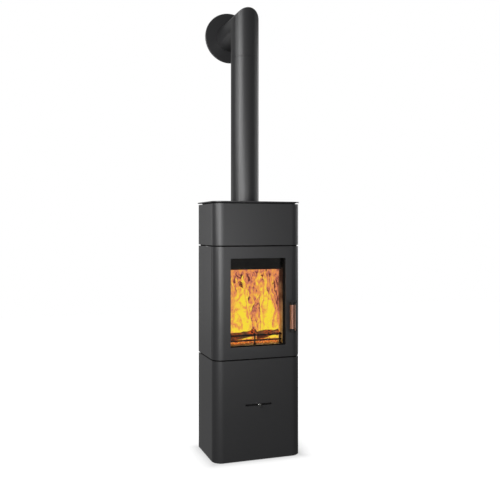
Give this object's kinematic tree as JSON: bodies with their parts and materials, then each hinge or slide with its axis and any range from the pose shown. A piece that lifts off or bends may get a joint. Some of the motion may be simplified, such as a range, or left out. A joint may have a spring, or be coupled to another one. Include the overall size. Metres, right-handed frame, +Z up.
{
  "type": "log-burning stove",
  "caption": "Tall slim steel stove with rounded front corners, a hinged window door with a coil handle, an air slide in the base and a flue pipe that turns into the wall.",
  "frame": {"origin": "on the floor under the centre of the casing's footprint", "axes": "+X to the right seen from the front, +Y to the rear, +Z up"},
  "size_m": [0.478, 0.5563, 2.415],
  "materials": {
    "painted_steel": "fine textured anthracite stove paint",
    "black_steel": "matt black heat-proof paint",
    "plain_steel": "bare steel",
    "polished_steel": "fine turned stainless steel",
    "cast_iron": "cast, matt",
    "copper": "satin copper",
    "firebrick": "pressed vermiculite board",
    "storage_stone": "sawn soapstone",
    "rope_seal": "woven glass rope",
    "ceramic_glass": "clear ceramic glass",
    "firewood": "split logs with bark",
    "flame": "flames over the logs"
  },
  "bodies": {
    "stove": {"base_plate": "black_steel", "levelling_screw_1": "plain_steel", "levelling_screw_2": "plain_steel", "levelling_screw_3": "plain_steel", "levelling_screw_4": "plain_steel", "lower_shell": "painted_steel", "lower_back_panel": "black_steel", "lower_frame_left": "black_steel", "lower_frame_right": "black_steel", "mid_deck": "black_steel", "air_box": "black_steel", "air_box_stand": "black_steel", "air_riser": "black_steel", "air_inlet_spigot": "black_steel", "mid_side_left": "painted_steel", "mid_side_right": "painted_steel", "rear_heat_shield": "black_steel", "firebox_body": "black_steel", "firebox_lid": "black_steel", "firebox_floor": "black_steel", "liner_left": "firebrick", "liner_right": "firebrick", "liner_rear": "firebrick", "hearth_slab": "firebrick", "grate": "cast_iron", "ash_pan": "black_steel", "ash_pan_rail_left": "black_steel", "ash_pan_rail_right": "black_steel", "baffle_lower": "firebrick", "baffle_upper": "black_steel", "air_wash_deflector": "black_steel", "log_guard": "cast_iron", "hinge_bracket_lower": "black_steel", "hinge_bracket_upper": "black_steel", "latch_keeper": "plain_steel", "flue_collar": "cast_iron", "flue_pipe": "painted_steel", "flue_elbow": "painted_steel", "wall_rosette": "painted_steel", "upper_deck": "black_steel", "upper_shell": "painted_steel", "upper_back_panel": "black_steel", "upper_frame_left": "black_steel", "upper_frame_right": "black_steel", "top_support": "black_steel", "top_plate": "painted_steel", "storage_stone_left": "storage_stone", "storage_stone_right": "storage_stone", "storage_stone_front": "storage_stone"},
    "fire_door": {"door_front": "painted_steel", "door_frame": "black_steel", "door_glass": "ceramic_glass", "glass_gasket": "rope_seal", "glass_retainer": "black_steel", "door_seal": "rope_seal"},
    "door_handle": {"latch_shaft": "plain_steel", "handle_bar": "black_steel", "handle_coil": "copper"},
    "air_control": {"air_slide": "plain_steel", "air_knob": "polished_steel"}
  },
  "joints": [
    {"name": "fire_door_hinge", "type": "hinge", "parent": "stove", "child": "fire_door", "pos_m": [-0.222, -0.112, 0.8], "axis": [0, 0, -1], "range_deg": [0, 100]},
    {"name": "handle_turn", "type": "hinge", "parent": "fire_door", "child": "door_handle", "pos_m": [0.2, -0.13, 0.7245], "axis": [0, 0, 1], "range_deg": [0, 40]},
    {"name": "air_slide_travel", "type": "slide", "parent": "stove", "child": "air_control", "axis": [1, 0, 0], "range_m": [-0.058, 0.058]}
  ]
}
